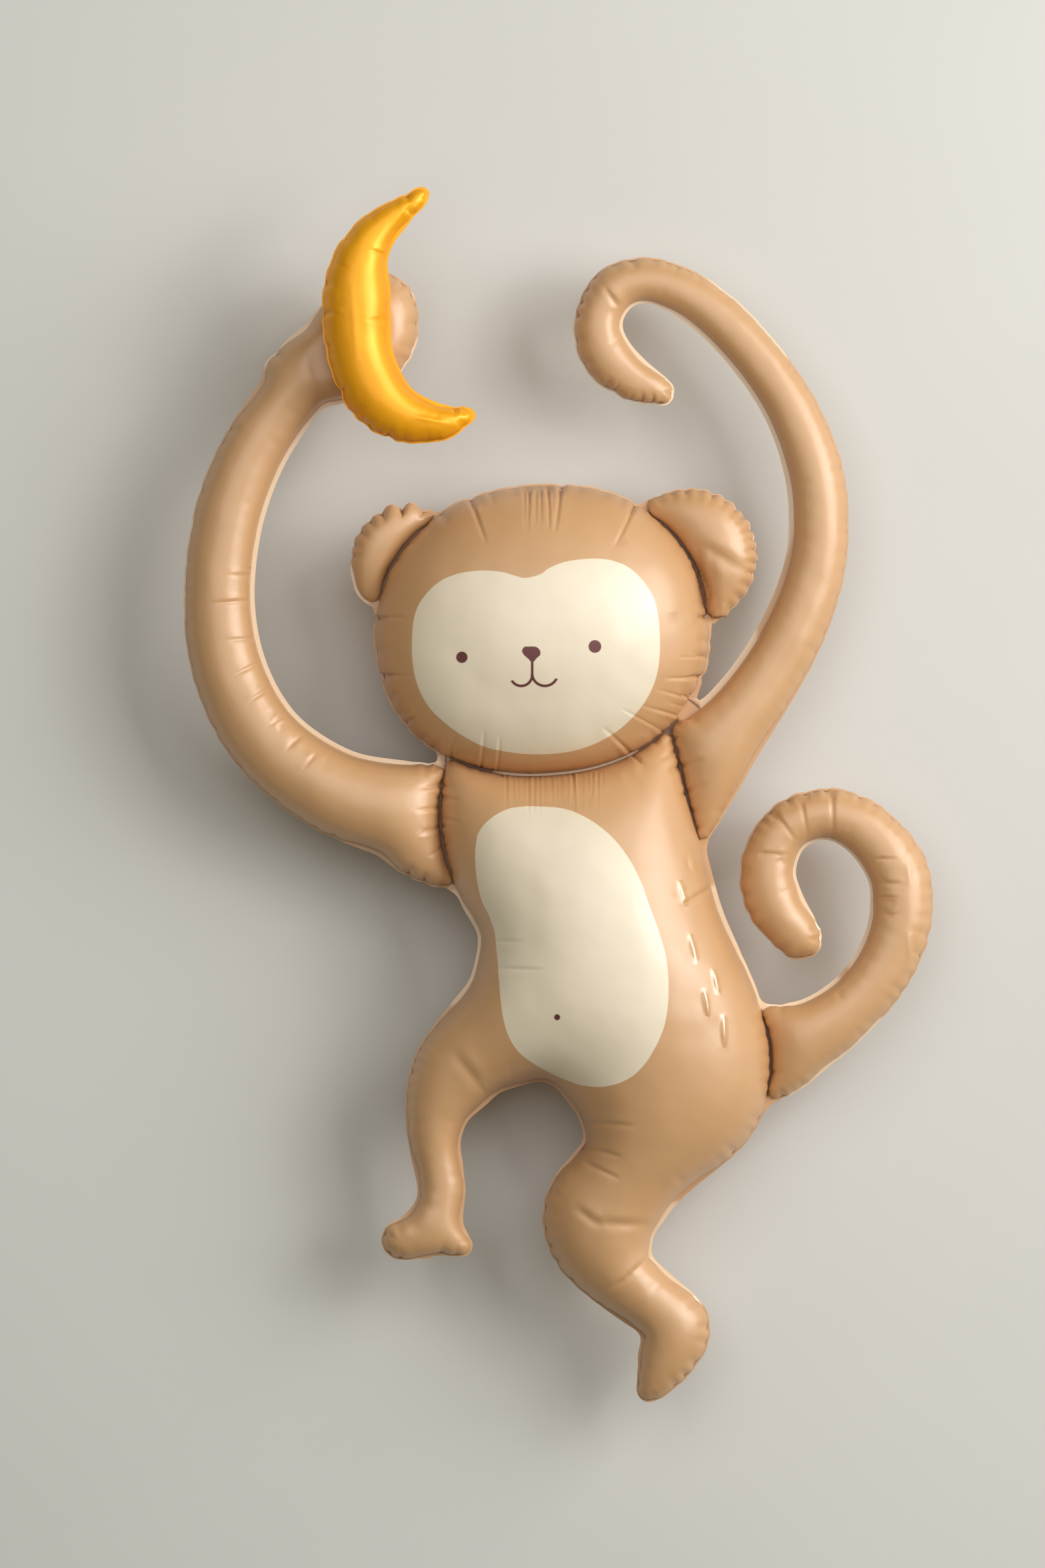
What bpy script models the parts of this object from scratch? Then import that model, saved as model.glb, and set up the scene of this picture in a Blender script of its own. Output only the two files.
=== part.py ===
# Monkey foil balloon with a small banana balloon in its raised hand.
#
# The figure is one envelope: two foil skins welded round the edge and along the lines where head,
# ears, arms, tail and body meet. Each stretch between welds is a chamber that gas swells. The solid
# lies on its back, face up, head towards +Y. It follows the real thing: flat chamber outlines first,
# then every chamber is inflated by solving the equation of a stretched film under pressure.

import math

import bmesh
import bpy
import numpy as np
from mathutils import Vector
from mathutils.geometry import delaunay_2d_cdt

# Sizes, in metres
FIGURE_HEIGHT = 0.965  # from the lowest toe to the banana's upper tip
RIM_WIDTH = 0.005  # flat weld rim outside the inflated edge
WELD_WIDTH = 0.004  # flat weld between two chambers
WELD_THICKNESS = 0.0008  # the welded skins, thick enough to be a solid
PUCKER_PITCH = 0.0145  # along an ear's edge
PUCKER_DEPTH = 0.0035  # how far the puckers bite into an ear's edge
PUCKER_REACH = 0.012  # how far in the puckers fade out
BACK_PRESS = 0.006  # how far the head's and body's backs are pressed flat where they rest
HAND_PRESS = 0.004  # how far the banana presses the palm flat
BANANA_PRESS = 0.004  # how far the palm presses the banana flat
TOUCH_GAP = 0.0003  # between the palm and the banana
EDGE_STEP = 0.020  # longest edge along a chamber's outline
FILL_STEP = 0.024  # spacing of the points inside a chamber
RING_DEPTHS = (0.004, 0.013)  # rows of points just inside a chamber's edge
OUTLINE_GRID = 0.003  # grid on which the outlines are traced
BRANCH_BLEND = 0.012  # radius with which the branches of one chamber run into each other
NOTCH_BLEND = 0.006  # radius in the rim where two chambers' edges meet

# Shares of a form's own size
LIMB_FULLNESS = 0.98  # 1 is a round tube
BODY_FULLNESS = 0.86  # a wide chamber stays flatter than a tube
FLATTEST_AT = 0.078  # half thickness, over FIGURE_HEIGHT, of a chamber as flat as BODY_FULLNESS
FILL_CLEARANCE = 0.2  # fill points from the innermost row, over FILL_STEP

# The drawing of the flat figure. Each chamber is a set of branches, and a branch is a spine of
# stations (x, y, width). The unit is a thousandth of DRAWN_HEIGHT metres, and (0, 0) is the middle
# of the head.
DRAWN_HEIGHT = 965
HEAD_WIDTH = 269
HEAD_HEIGHT = 234
HEAD_SQUARENESS = 2.2  # 2 is an ellipse
HEAD_TILT = 4.6  # degrees, its right side up
BODY = (
    ((15, -75, 170), (16, -118, 193), (19, -155, 204), (38, -202, 193), (49, -240, 191),
     (55, -266, 197), (73, -293, 186), (92, -324, 175), (102, -351, 163), (92, -388, 121),
     (77, -420, 92), (60, -443, 90), (46, -463, 92), (47, -483, 82), (56, -505, 62),
     (73, -522, 55), (92, -537, 52), (108, -553, 52), (101, -573, 49), (93, -590, 35),
     (86, -602, 23)),
    ((20, -277, 148), (-11, -304, 108), (-50, -331, 79), (-69, -351, 71), (-82, -375, 54),
     (-86, -404, 42), (-82, -428, 39), (-80, -449, 38), (-85, -470, 40)),
    ((-112, -484, 33), (-89, -478, 33), (-65, -488, 20)),
)
RAISED_ARM = (
    ((-38, -155, 101), (-78, -154, 100), (-112, -143, 80), (-165, -127, 69), (-216, -90, 63),
     (-246, -39, 60), (-257, 20, 57), (-251, 84, 56), (-231, 140, 54), (-201, 186, 52),
     (-181, 211, 56)),
    ((-163, 199, 37), (-149, 228, 80), (-136, 236, 74), (-130, 254, 64)),
    ((-163, 232, 38), (-209, 209, 21)),
)
HOOKED_ARM = (
    ((90, -141, 99), (118, -111, 82), (147, -79, 63), (175, -42, 55), (200, 2, 52), (216, 47, 49),
     (220, 89, 48), (215, 131, 47), (198, 175, 43), (171, 216, 41), (137, 252, 40), (105, 273, 38),
     (78, 279, 37), (55, 269, 39), (44, 244, 39), (51, 219, 42), (72, 200, 36), (94, 190, 24)),
)
TAIL = (
    ((153, -342, 80), (182, -335, 76), (206, -325, 61), (226, -314, 54), (249, -295, 49),
     (268, -272, 49), (282, -243, 50), (286, -214, 50), (281, -187, 49), (258, -158, 45),
     (227, -145, 42), (194, -157, 42), (179, -189, 45), (186, -219, 46), (205, -244, 37)),
)
LEFT_EAR = (-109, 56, 90)
RIGHT_EAR = (118, 60, 110)
BANANA = (
    ((-95, 344, 14), (-112, 331, 23), (-132, 314, 33), (-144, 293, 43), (-147, 267, 54),
     (-147, 243, 55), (-144, 216, 52), (-132, 188, 51), (-117, 173, 45), (-99, 166, 38),
     (-80, 164, 29), (-59, 170, 14)),
)

UNIT = FIGURE_HEIGHT / DRAWN_HEIGHT
TRACE_TOLERANCE = 0.1 * min(RIM_WIDTH, WELD_WIDTH)
OUTSIDE = -2  # marks triangles beyond the rim
WELD = -1  # marks triangles in a rim or weld; those in a chamber carry its number


def clear_scene():
    for thing in list(bpy.data.objects):
        bpy.data.objects.remove(thing, do_unlink=True)


def drawing_grid():
    """Columns and rows of a square grid that holds every station's disc."""
    branches = BODY + RAISED_ARM + HOOKED_ARM + TAIL + BANANA
    discs = np.array([station for stations in branches for station in stations]) * UNIT
    low = (discs[:, :2] - discs[:, 2:]).min(axis=0)
    high = (discs[:, :2] + discs[:, 2:]).max(axis=0)
    return np.arange(low[0], high[0], OUTLINE_GRID), np.arange(low[1], high[1], OUTLINE_GRID)


def smooth_union(a, b, radius):
    mix = np.clip(0.5 + 0.5 * (b - a) / radius, 0, 1)
    return b + (a - b) * mix - radius * mix * (1 - mix)


def spine_discs(stations):
    """Discs a few millimetres apart along a smooth curve through the stations."""
    points = np.array(stations, float) * UNIT
    ends = [2 * points[0] - points[1], *points, 2 * points[-1] - points[-2]]
    discs = []
    for before, start, end, after in zip(ends, ends[1:], ends[2:], ends[3:]):
        steps = max(2, int(math.dist(start[:2], end[:2]) / OUTLINE_GRID))
        for t in np.arange(steps) / steps:
            discs.append(0.5 * (2 * start + (end - before) * t
                                + (2 * before - 5 * start + 4 * end - after) * t ** 2
                                + (3 * start - before - 3 * end + after) * t ** 3))
    discs.append(points[-1])
    return discs


def tube_field(grid, branches):
    """Distance to the outline of tubes that run together, negative inside."""
    field = None
    for stations in branches:
        tube = np.full(grid[0].shape, np.inf)
        for x, y, width in spine_discs(stations):
            tube = np.minimum(tube, np.hypot(grid[0] - x, grid[1] - y) - width / 2)
        field = tube if field is None else smooth_union(field, tube, BRANCH_BLEND)
    return field


def head_field(grid):
    """Squarish ellipse, tilted."""
    tilt = math.radians(HEAD_TILT)
    across = grid[0] * math.cos(tilt) + grid[1] * math.sin(tilt)
    along = grid[1] * math.cos(tilt) - grid[0] * math.sin(tilt)
    half_width = HEAD_WIDTH * UNIT / 2
    half_height = HEAD_HEIGHT * UNIT / 2
    power = HEAD_SQUARENESS
    share = (np.abs(across / half_width) ** power + np.abs(along / half_height) ** power) ** (1 / power)
    reach = np.hypot(across, along) / np.maximum(share, 1e-6)
    return (share - 1) * reach


def ear_field(grid, ear):
    """Disc whose edge is bitten by puckers, which fade out inwards."""
    x, y, width = (size * UNIT for size in ear)
    disc = np.hypot(grid[0] - x, grid[1] - y) - width / 2
    puckers = round(math.pi * width / PUCKER_PITCH)
    turn = np.arctan2(grid[1] - y, grid[0] - x)
    bite = PUCKER_DEPTH * (1 - np.abs(np.cos(turn * puckers / 2)))
    return disc + bite * np.clip(1 + disc / PUCKER_REACH, 0, 1)


def trace(field, level, x, y):
    """Closed curves where the field on the grid passes the level."""
    inside = field < level
    cells = inside[:-1, :-1].astype(int) + inside[1:, :-1] + inside[:-1, 1:] + inside[1:, 1:]
    links = {}
    for j, i in np.argwhere((cells > 0) & (cells < 4)):
        corners = [(j, i), (j, i + 1), (j + 1, i + 1), (j + 1, i)]
        crossed = []
        for a, b in zip(corners, corners[1:] + corners[:1]):
            if inside[a] != inside[b]:
                crossed.append((min(a, b), max(a, b)))
        if len(crossed) == 4 and inside[corners[0]] == (field[j:j + 2, i:i + 2].mean() < level):
            crossed = crossed[1:] + crossed[:1]
        for one, other in zip(crossed[::2], crossed[1::2]):
            links.setdefault(one, []).append(other)
            links.setdefault(other, []).append(one)
    loops = []
    while links:
        start = next(iter(links))
        loop, here, last = [], start, None
        while here in links:
            (a, b), nexts = here, links.pop(here)
            share = (level - field[a]) / (field[b] - field[a])
            loop.append((x[a[1]] + share * (x[b[1]] - x[a[1]]), y[a[0]] + share * (y[b[0]] - y[a[0]])))
            onward = [other for other in nexts if other != last]
            here, last = (onward or nexts)[0], here
        loops.append(np.array(loop))
    return loops


def thin_out(loop, longest):
    """Fewest points that stay within the tolerance of a traced curve, none too far apart."""
    count = len(loop)
    far = int(np.argmax(np.hypot(*(loop - loop[0]).T)))
    keep = {0, far}
    spans = [(0, far), (far, count)]
    while spans:
        first, last = spans.pop()
        if last - first < 2:
            continue
        a, b = loop[first], loop[last % count]
        between = loop[first + 1:last]
        run = b - a
        length = max(math.hypot(*run), 1e-9)
        off = np.abs(run[0] * (between[:, 1] - a[1]) - run[1] * (between[:, 0] - a[0])) / length
        worst = int(np.argmax(off))
        if off[worst] > TRACE_TOLERANCE:
            split = first + 1 + worst
        elif length > longest:
            split = (first + last) // 2
        else:
            continue
        keep.add(split)
        spans += [(first, split), (split, last)]
    return loop[sorted(keep)]


def length_of(loop):
    return float(np.hypot(*(loop - np.roll(loop, 1, axis=0)).T).sum())


def read_field(field, x, y, points):
    """Field at any points, straight between the grid's own."""
    column = np.clip((points[:, 0] - x[0]) / OUTLINE_GRID, 0, len(x) - 2)
    row = np.clip((points[:, 1] - y[0]) / OUTLINE_GRID, 0, len(y) - 2)
    i, j = column.astype(int), row.astype(int)
    u, v = column - i, row - j
    return ((field[j, i] * (1 - u) + field[j, i + 1] * u) * (1 - v)
            + (field[j + 1, i] * (1 - u) + field[j + 1, i + 1] * u) * v)


def chamber_regions(fields):
    """Gas space of each chamber, inside its rim. Where two would cross, the later one in the list
    ends a weld's width short of the earlier one."""
    spaces = [field + RIM_WIDTH for field in fields]
    regions = []
    for number, region in enumerate(spaces):
        for earlier in spaces[:number]:
            region = np.maximum(region, WELD_WIDTH - earlier)
        regions.append(region)
    return regions


def fill_spots(inner, branches, x, y):
    """Points deep inside the chambers: a row along each spine, then a triangular grid."""
    row_height = FILL_STEP * math.sqrt(3) / 2
    spots = []
    for stations in branches:
        spine = np.array(spine_discs(stations))[:, :2]
        travel = np.cumsum(np.hypot(*np.diff(spine, axis=0, prepend=spine[:1]).T))
        for stop in np.arange(0, travel[-1], row_height):
            spots.append(spine[np.searchsorted(travel, stop)])
    for number, row in enumerate(np.arange(y[0], y[-1], row_height)):
        for column in np.arange(x[0], x[-1], FILL_STEP):
            spots.append((column + (number % 2) * FILL_STEP / 2, row))
    spots = np.array(spots)
    clearance = max(RING_DEPTHS) + FILL_CLEARANCE * FILL_STEP
    closest = row_height / math.sqrt(2)
    kept = []
    for spot in spots[read_field(inner, x, y, spots) < -clearance]:
        if not kept or np.hypot(*(np.array(kept) - spot).T).min() > closest:
            kept.append(spot)
    return kept


def flat_pattern(fields, branches, x, y):
    """Points and fixed edges of the envelope's flat pattern, with its outline and regions."""
    rim = fields[0]
    for field in fields[1:]:
        rim = smooth_union(rim, field, NOTCH_BLEND)
    regions = chamber_regions(fields)
    points, edges = [], []

    def add_loop(loop, fixed):
        first = len(points)
        points.extend(loop)
        if fixed:
            count = len(loop)
            edges.extend((first + k, first + (k + 1) % count) for k in range(count))

    shortest = 4 * RIM_WIDTH
    for loop in trace(rim, 0, x, y):
        if length_of(loop) > shortest:
            add_loop(thin_out(loop, EDGE_STEP), True)
    for region in regions:
        for depth in (0, *RING_DEPTHS):
            for loop in trace(region, -depth, x, y):
                if length_of(loop) > shortest:
                    add_loop(thin_out(loop, EDGE_STEP), depth == 0)
    inner = np.minimum.reduce(regions)
    points.extend(fill_spots(inner, branches, x, y))
    return points, edges, rim, regions


def triangulate(points, edges, rim, regions, x, y):
    """Triangles inside the outline, each with its chamber's number or WELD."""
    spots, links, faces, _, link_sources, _ = delaunay_2d_cdt(
        [Vector(point) for point in points], edges, [], 0, 1e-6)
    spots = np.array([tuple(spot) for spot in spots])
    fixed = {frozenset(link) for link, source in zip(links, link_sources) if source}
    beside = {}
    for number, face in enumerate(faces):
        for a, b in zip(face, face[1:] + face[:1]):
            if frozenset((a, b)) not in fixed:
                beside.setdefault(frozenset((a, b)), []).append(number)
    touching = {}
    for pair in beside.values():
        if len(pair) == 2:
            touching.setdefault(pair[0], []).append(pair[1])
            touching.setdefault(pair[1], []).append(pair[0])
    corners = spots[np.array(faces)]
    sides = corners[:, 1:] - corners[:, :1]
    areas = 0.5 * np.abs(sides[:, 0, 0] * sides[:, 1, 1] - sides[:, 0, 1] * sides[:, 1, 0])
    middles = corners.mean(axis=1)
    outside = read_field(rim, x, y, middles) > 0
    depth = np.array([read_field(region, x, y, middles) for region in regions])
    label = {}
    for seed in range(len(faces)):
        if seed in label:
            continue
        patch, queue = [], [seed]
        label[seed] = None
        while queue:
            face = queue.pop()
            patch.append(face)
            for other in touching.get(face, ()):
                if other not in label:
                    label[other] = None
                    queue.append(other)
        largest = max(patch, key=lambda face: areas[face])
        if outside[largest]:
            kind = OUTSIDE
        elif depth[:, largest].min() < 0:
            kind = int(depth[:, largest].argmin())
        else:
            kind = WELD
        for face in patch:
            label[face] = kind
    kept = [(face, label[number]) for number, face in enumerate(faces) if label[number] != OUTSIDE]
    return spots, kept


def swell(spots, triangles):
    """Height of the film over each point: zero on welds, and in a chamber the square root of the
    solution of a film equation, which makes a straight tube round and a disc a flat cushion."""
    held = set()
    for face, kind in triangles:
        if kind == WELD:
            held.update(face)
    free = sorted({corner for face, _ in triangles for corner in face} - held)
    place = {corner: number for number, corner in enumerate(free)}
    matrix = np.zeros((len(free), len(free)))
    load = np.zeros(len(free))
    for face, kind in triangles:
        if kind == WELD:
            continue
        corners = spots[list(face)]
        across = corners[[2, 0, 1]] - corners[[1, 2, 0]]
        area = 0.5 * abs(across[0, 0] * across[1, 1] - across[0, 1] * across[1, 0])
        stiffness = across @ across.T / (4 * area)
        for a in range(3):
            if face[a] not in place:
                continue
            load[place[face[a]]] += 2 * area / 3
            for b in range(3):
                if face[b] in place:
                    matrix[place[face[a]], place[face[b]]] += stiffness[a, b]
    round_height = np.zeros(len(spots))
    round_height[free] = np.sqrt(np.maximum(np.linalg.solve(matrix, load), 0))
    flatness = np.minimum(round_height / (FLATTEST_AT * FIGURE_HEIGHT), 1)
    fullness = LIMB_FULLNESS + (BODY_FULLNESS - LIMB_FULLNESS) * flatness
    return round_height * fullness


class Envelope:
    """Flat pattern of one balloon with the swell over each of its points."""

    def __init__(self, chambers, branches, x, y):
        self.names = list(chambers)
        points, edges, rim, regions = flat_pattern(list(chambers.values()), branches, x, y)
        self.spots, self.triangles = triangulate(points, edges, rim, regions, x, y)
        self.swell = swell(self.spots, self.triangles)
        self.chamber = np.full(len(self.spots), WELD)
        for face, kind in self.triangles:
            if kind != WELD:
                self.chamber[list(face)] = kind
        turns = {}
        for face, _ in self.triangles:
            for a, b in zip(face, face[1:] + face[:1]):
                turns[frozenset((a, b))] = turns.get(frozenset((a, b)), 0) + 1
        self.outline = {corner for pair, count in turns.items() if count == 1 for corner in pair}
        half = WELD_THICKNESS / 2
        self.front = self.swell + half
        self.back = -self.swell - half

    def inside(self, name):
        return self.chamber == self.names.index(name)

    def solid(self, name, centre, weld_height):
        """Closed mesh of the front and back skins, which meet at the outline."""
        shape = bmesh.new()
        upper, lower = {}, {}
        for corner in sorted({corner for face, _ in self.triangles for corner in face}):
            place = self.spots[corner] - centre
            if corner in self.outline:
                upper[corner] = shape.verts.new((*place, weld_height))
                lower[corner] = upper[corner]
            else:
                upper[corner] = shape.verts.new((*place, weld_height + self.front[corner]))
                lower[corner] = shape.verts.new((*place, weld_height + self.back[corner]))
        for face, _ in self.triangles:
            shape.faces.new([upper[corner] for corner in face])
            shape.faces.new([lower[corner] for corner in reversed(face)])
        bmesh.ops.recalc_face_normals(shape, faces=shape.faces)
        mesh = bpy.data.meshes.new(name)
        shape.to_mesh(mesh)
        shape.free()
        mesh.shade_smooth()
        mesh.set_sharp_from_angle(angle=math.radians(50))
        thing = bpy.data.objects.new(name, mesh)
        bpy.context.scene.collection.objects.link(thing)
        return thing


def foil(name, colour, roughness):
    material = bpy.data.materials.new(name)
    material.use_nodes = True
    shader = material.node_tree.nodes["Principled BSDF"]
    shader.inputs["Base Color"].default_value = (*colour, 1)
    shader.inputs["Roughness"].default_value = roughness
    shader.inputs["Metallic"].default_value = 0.3
    return material


def main():
    clear_scene()
    x, y = drawing_grid()
    grid = np.meshgrid(x, y)
    chambers = {
        "head": head_field(grid),
        "body": tube_field(grid, BODY),
        "raised_arm": tube_field(grid, RAISED_ARM),
        "hooked_arm": tube_field(grid, HOOKED_ARM),
        "tail": tube_field(grid, TAIL),
        "left_ear": ear_field(grid, LEFT_EAR),
        "right_ear": ear_field(grid, RIGHT_EAR),
    }
    banana_field = tube_field(grid, BANANA)
    monkey = Envelope(chambers, BODY + RAISED_ARM + HOOKED_ARM + TAIL, x, y)
    banana = Envelope({"banana": banana_field}, BANANA, x, y)

    # The back is pressed flat under the head and the body, in one plane.
    thickness = [monkey.swell[monkey.inside(name)].max() for name in ("head", "body")]
    rest_depth = min(thickness) - BACK_PRESS
    monkey.back = np.maximum(monkey.back, -rest_depth)

    # The palm's front and the banana's back are pressed flat against each other.
    to_banana = read_field(banana_field, x, y, monkey.spots)
    palm_height = monkey.front[to_banana < 0].max() - HAND_PRESS
    palm = to_banana < EDGE_STEP
    monkey.front[palm] = np.minimum(monkey.front[palm], palm_height)
    banana_depth = -banana.back.min() - BANANA_PRESS
    banana.back = np.maximum(banana.back, -banana_depth)

    spots = np.vstack([monkey.spots, banana.spots])
    centre = (spots.min(axis=0) + spots.max(axis=0)) / 2
    figure = monkey.solid("monkey_balloon", centre, rest_depth)
    figure.data.materials.append(foil("tan_foil", (0.60, 0.37, 0.19), 0.38))
    banana_height = rest_depth + palm_height + TOUCH_GAP + banana_depth
    fruit = banana.solid("banana_balloon", centre, banana_height)
    fruit.data.materials.append(foil("yellow_foil", (0.90, 0.43, 0.01), 0.32))


main()
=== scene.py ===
# Looks of the monkey foil balloon and its banana balloon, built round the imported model.
# Both are made the way the real ones are: the welded pattern is cut flat from the model, inflated as a
# stretched film, and gathered where the film has more length than the weld.
import math

import bmesh
import bpy
import numpy as np
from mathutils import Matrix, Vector, kdtree, noise
from mathutils.geometry import delaunay_2d_cdt


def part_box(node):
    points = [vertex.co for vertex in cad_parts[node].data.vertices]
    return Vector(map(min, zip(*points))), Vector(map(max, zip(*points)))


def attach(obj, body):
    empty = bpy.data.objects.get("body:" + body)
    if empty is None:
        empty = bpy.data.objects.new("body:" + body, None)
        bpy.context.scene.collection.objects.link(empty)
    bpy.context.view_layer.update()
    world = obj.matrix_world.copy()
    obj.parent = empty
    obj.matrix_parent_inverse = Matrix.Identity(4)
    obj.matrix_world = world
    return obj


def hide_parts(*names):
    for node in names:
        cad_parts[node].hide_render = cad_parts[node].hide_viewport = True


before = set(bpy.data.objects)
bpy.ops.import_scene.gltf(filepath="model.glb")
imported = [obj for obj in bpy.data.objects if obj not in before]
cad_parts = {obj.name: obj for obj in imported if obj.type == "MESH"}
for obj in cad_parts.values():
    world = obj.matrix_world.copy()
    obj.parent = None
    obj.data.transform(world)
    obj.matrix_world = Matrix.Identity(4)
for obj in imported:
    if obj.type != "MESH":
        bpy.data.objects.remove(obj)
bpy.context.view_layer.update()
print("frame loaded")

# how fine the foil meshes are, in metres
foilMesh = {
    "alongSeam": 0.0027,     # spacing of points along a weld
    "rowRise": 0.0029,       # height gained from one row beside a weld to the next
    "rowsTo": 0.0135,        # the rows end this far in
    "inside": 0.0047,        # spacing of points further in
    "alongCrease": 0.0016,   # spacing of points along a drawn crease
    "creaseApart": 0.00075,  # the least spacing of those of two creases that meet
    "creaseFromWeld": 0.0006,
    "rowFromCrease": 0.0009,
    "seamRounding": 14,      # passes that round the model's corners off the weld lines
    "earRounding": 36,       # the ears lose the model's coarse puckers, and get finer ones
    "ears": ((606, 842), (1035, 836)),
    "earReach": (0.058, 0.064),
    "limbRadius": 0.024,     # for which the rows beside a weld are spaced
    "shortestRing": 0.03,    # shorter rings are slits, and stay closed
    "freeEdge": 0.0075,      # a weld this near the outline belongs to the rim
    "sideBySide": (0.0052, 0.0080),      # welds nearer than this are moved together
    "innerWeld": 0.0018,     # width of the weld between two chambers, whose walls close over it
    "modelRim": 0.0050,      # the rim's width in the model
    "hollowRim": 0.0036,     # where the edge is hollow it lies flat
    "roundRim": 0.0013,      # where the edge is round the swollen film pulls it under
    "crampedRim": 0.0022,    # and where the hollow is tight
    # places in the photograph, with their reach in pixels, where the rim has a width of its own
    "ownRims": ((533, 888, 42, 0.0030), (1035, 1062, 40, 0.0044), (1080, 1032, 42, 0.0048),
                (1130, 972, 48, 0.0048), (1165, 902, 45, 0.0048), (1185, 822, 48, 0.0046),
                (1188, 740, 45, 0.0042)),
}

# how both balloons swell, in metres
swelling = {
    "rimThickness": 0.0003,
    "limbFullness": 0.98,     # 1 is a round tube
    "bodyFullness": 0.86,
    "flattestAt": 0.0753,     # half thickness of a chamber as flat as bodyFullness
}

photograph = {
    "metresPerPixel": 0.00053,
    "middle": (837.5, 1194),  # where the part's origin lies
    "centre": (784, 1176),
    "height": 2352,
    "distance": 8.0,          # of the camera from the weld
    "creaseLift": 0.05,       # usual height of a crease over the weld
}


# from the photograph's pixels to the part's metres, lift being the height over the weld
def toPart(pixels, lift=0.0):
    pixels = np.array(pixels, float)
    centre = np.array(photograph["centre"])
    pixels = centre + (pixels - centre) * (1 - lift / photograph["distance"])
    return (pixels - photograph["middle"]) * photograph["metresPerPixel"] * (1, -1)


# how many of the photograph's pixels each point is from a place in it
def pixelsFrom(points, place):
    return np.hypot(*(points - toPart(place)).T) / photograph["metresPerPixel"]


def softStep(value, low, high):
    share = np.clip((value - low) / (high - low), 0, 1)
    return share * share * (3 - 2 * share)


# the pattern: the model's welded front, pressed flat

# closed rings of points where the model's front meets its rim, and the ring round the rim's outer edge
def patternLoops(node):
    bm = bmesh.new()
    bm.from_mesh(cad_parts[node].data)
    bmesh.ops.remove_doubles(bm, verts=bm.verts, dist=1e-6)
    weld = min(bm.verts, key=lambda v: v.co.x).co.z   # its outermost point lies on the rim's edge
    bmesh.ops.delete(bm, geom=[v for v in bm.verts if v.co.z < weld - 1e-5], context="VERTS")
    flatTop = min(v.co.z for v in bm.verts if v.co.z > weld + 1e-5) + 1e-5
    for face in bm.faces:
        face.material_index = int(all(v.co.z < flatTop for v in face.verts))
    outer = [e for e in bm.edges if e.is_boundary]
    seam = [e for e in bm.edges if len({f.material_index for f in e.link_faces}) == 2]
    loops = [walkLoops(outer), walkLoops(seam)]
    bm.free()
    return weld, loops


def walkLoops(edges):
    nextTo = {}
    for edge in edges:
        a, b = edge.verts
        nextTo.setdefault(a, []).append(b)
        nextTo.setdefault(b, []).append(a)
    loops = []
    while nextTo:
        here = next(iter(nextTo))
        last, ring = None, []
        while here in nextTo:
            ring.append(here.co.xy.copy())
            onward = [v for v in nextTo.pop(here) if v != last and (v in nextTo)]
            last, here = here, (onward or [None])[0]
        loops.append(np.array(ring))
    return loops


def around(loop):
    step = np.hypot(*(np.roll(loop, -1, axis=0) - loop).T)
    return np.concatenate([[0], np.cumsum(step)])


# even spacing, then rounding that doesn't shrink the ring
def smoothLoop(loop, spacing):
    rough, fine = foilMesh["seamRounding"], foilMesh["earRounding"]
    for count, passes in ((2, 6), (1, fine)):
        travel = around(loop)
        wanted = round(travel[-1] / spacing) * count
        stops = np.arange(wanted) / wanted * travel[-1]
        closed = np.vstack([loop, loop[:1]])
        loop = np.column_stack([np.interp(stops, travel, closed[:, k]) for k in (0, 1)])
        ear = np.zeros(len(loop))
        for place in toPart(foilMesh["ears"]):
            away = np.hypot(*(loop - place).T)
            ear = np.maximum(ear, 1 - softStep(away, *foilMesh["earReach"]))
        for number in range(2 * passes):
            pull = (np.roll(loop, 1, axis=0) + np.roll(loop, -1, axis=0)) / 2 - loop
            pull *= 0.5 if number % 2 == 0 else -0.52
            loop = loop + pull * (ear[:, None] if number >= 2 * rough else 1)
    area = np.sum(loop[:, 0] * np.roll(loop[:, 1], -1) - np.roll(loop[:, 0], -1) * loop[:, 1])
    return loop if area > 0 else loop[::-1]     # counter-clockwise, so the gas is on the left


def inwardOf(loop):
    tangent = np.roll(loop, -1, axis=0) - np.roll(loop, 1, axis=0)
    tangent /= np.maximum(np.hypot(*tangent.T), 1e-9)[:, None]
    return np.column_stack([-tangent[:, 1], tangent[:, 0]])


# one over the radius, positive where the ring is convex
def bendOf(loop):
    normal = inwardOf(loop)
    reach = max(2, min(6, len(loop) // 8))
    turn = np.roll(normal, -reach, axis=0) - np.roll(normal, reach, axis=0)
    run = np.roll(loop, -reach, axis=0) - np.roll(loop, reach, axis=0)
    return -np.sum(turn * run, axis=1) / np.maximum(np.sum(run * run, axis=1), 1e-12)


def evenOut(value, passes):
    for _ in range(passes):
        value = (np.roll(value, 1) + 2 * value + np.roll(value, -1)) / 4
    return value


# the rim is narrower where the edge is round
def setRims(loops, edges):
    outline = np.vstack(edges)
    hollow, rounded, cramped = (foilMesh[kind + "Rim"] for kind in ("hollow", "round", "cramped"))
    moved = []
    for loop in loops:
        away = np.array([np.hypot(*(outline - point).T).min() for point in loop])
        free = away < foilMesh["freeEdge"]
        bend = evenOut(bendOf(loop), 12)
        wanted = hollow + (rounded - hollow) * softStep(bend, -3, 4)
        wanted += (cramped - wanted) * softStep(-bend, 9, 16)
        for x, y, reach, width in foilMesh["ownRims"]:
            away = pixelsFrom(loop, (x, y))
            wanted += (width - wanted) * (1 - softStep(away, reach - 15, reach))
        shift = evenOut(np.where(free, foilMesh["modelRim"] - wanted, 0), 10)
        moved.append(loop - inwardOf(loop) * shift[:, None])
    return moved


# how far each point of a ring is from the nearest other ring
def gapsBetween(loops):
    gaps = []
    for number, loop in enumerate(loops):
        others = np.vstack([other for k, other in enumerate(loops) if k != number] or [loop + 1])
        gaps.append(np.array([np.hypot(*(others - point).T).min() for point in loop]))
    return gaps


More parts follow.
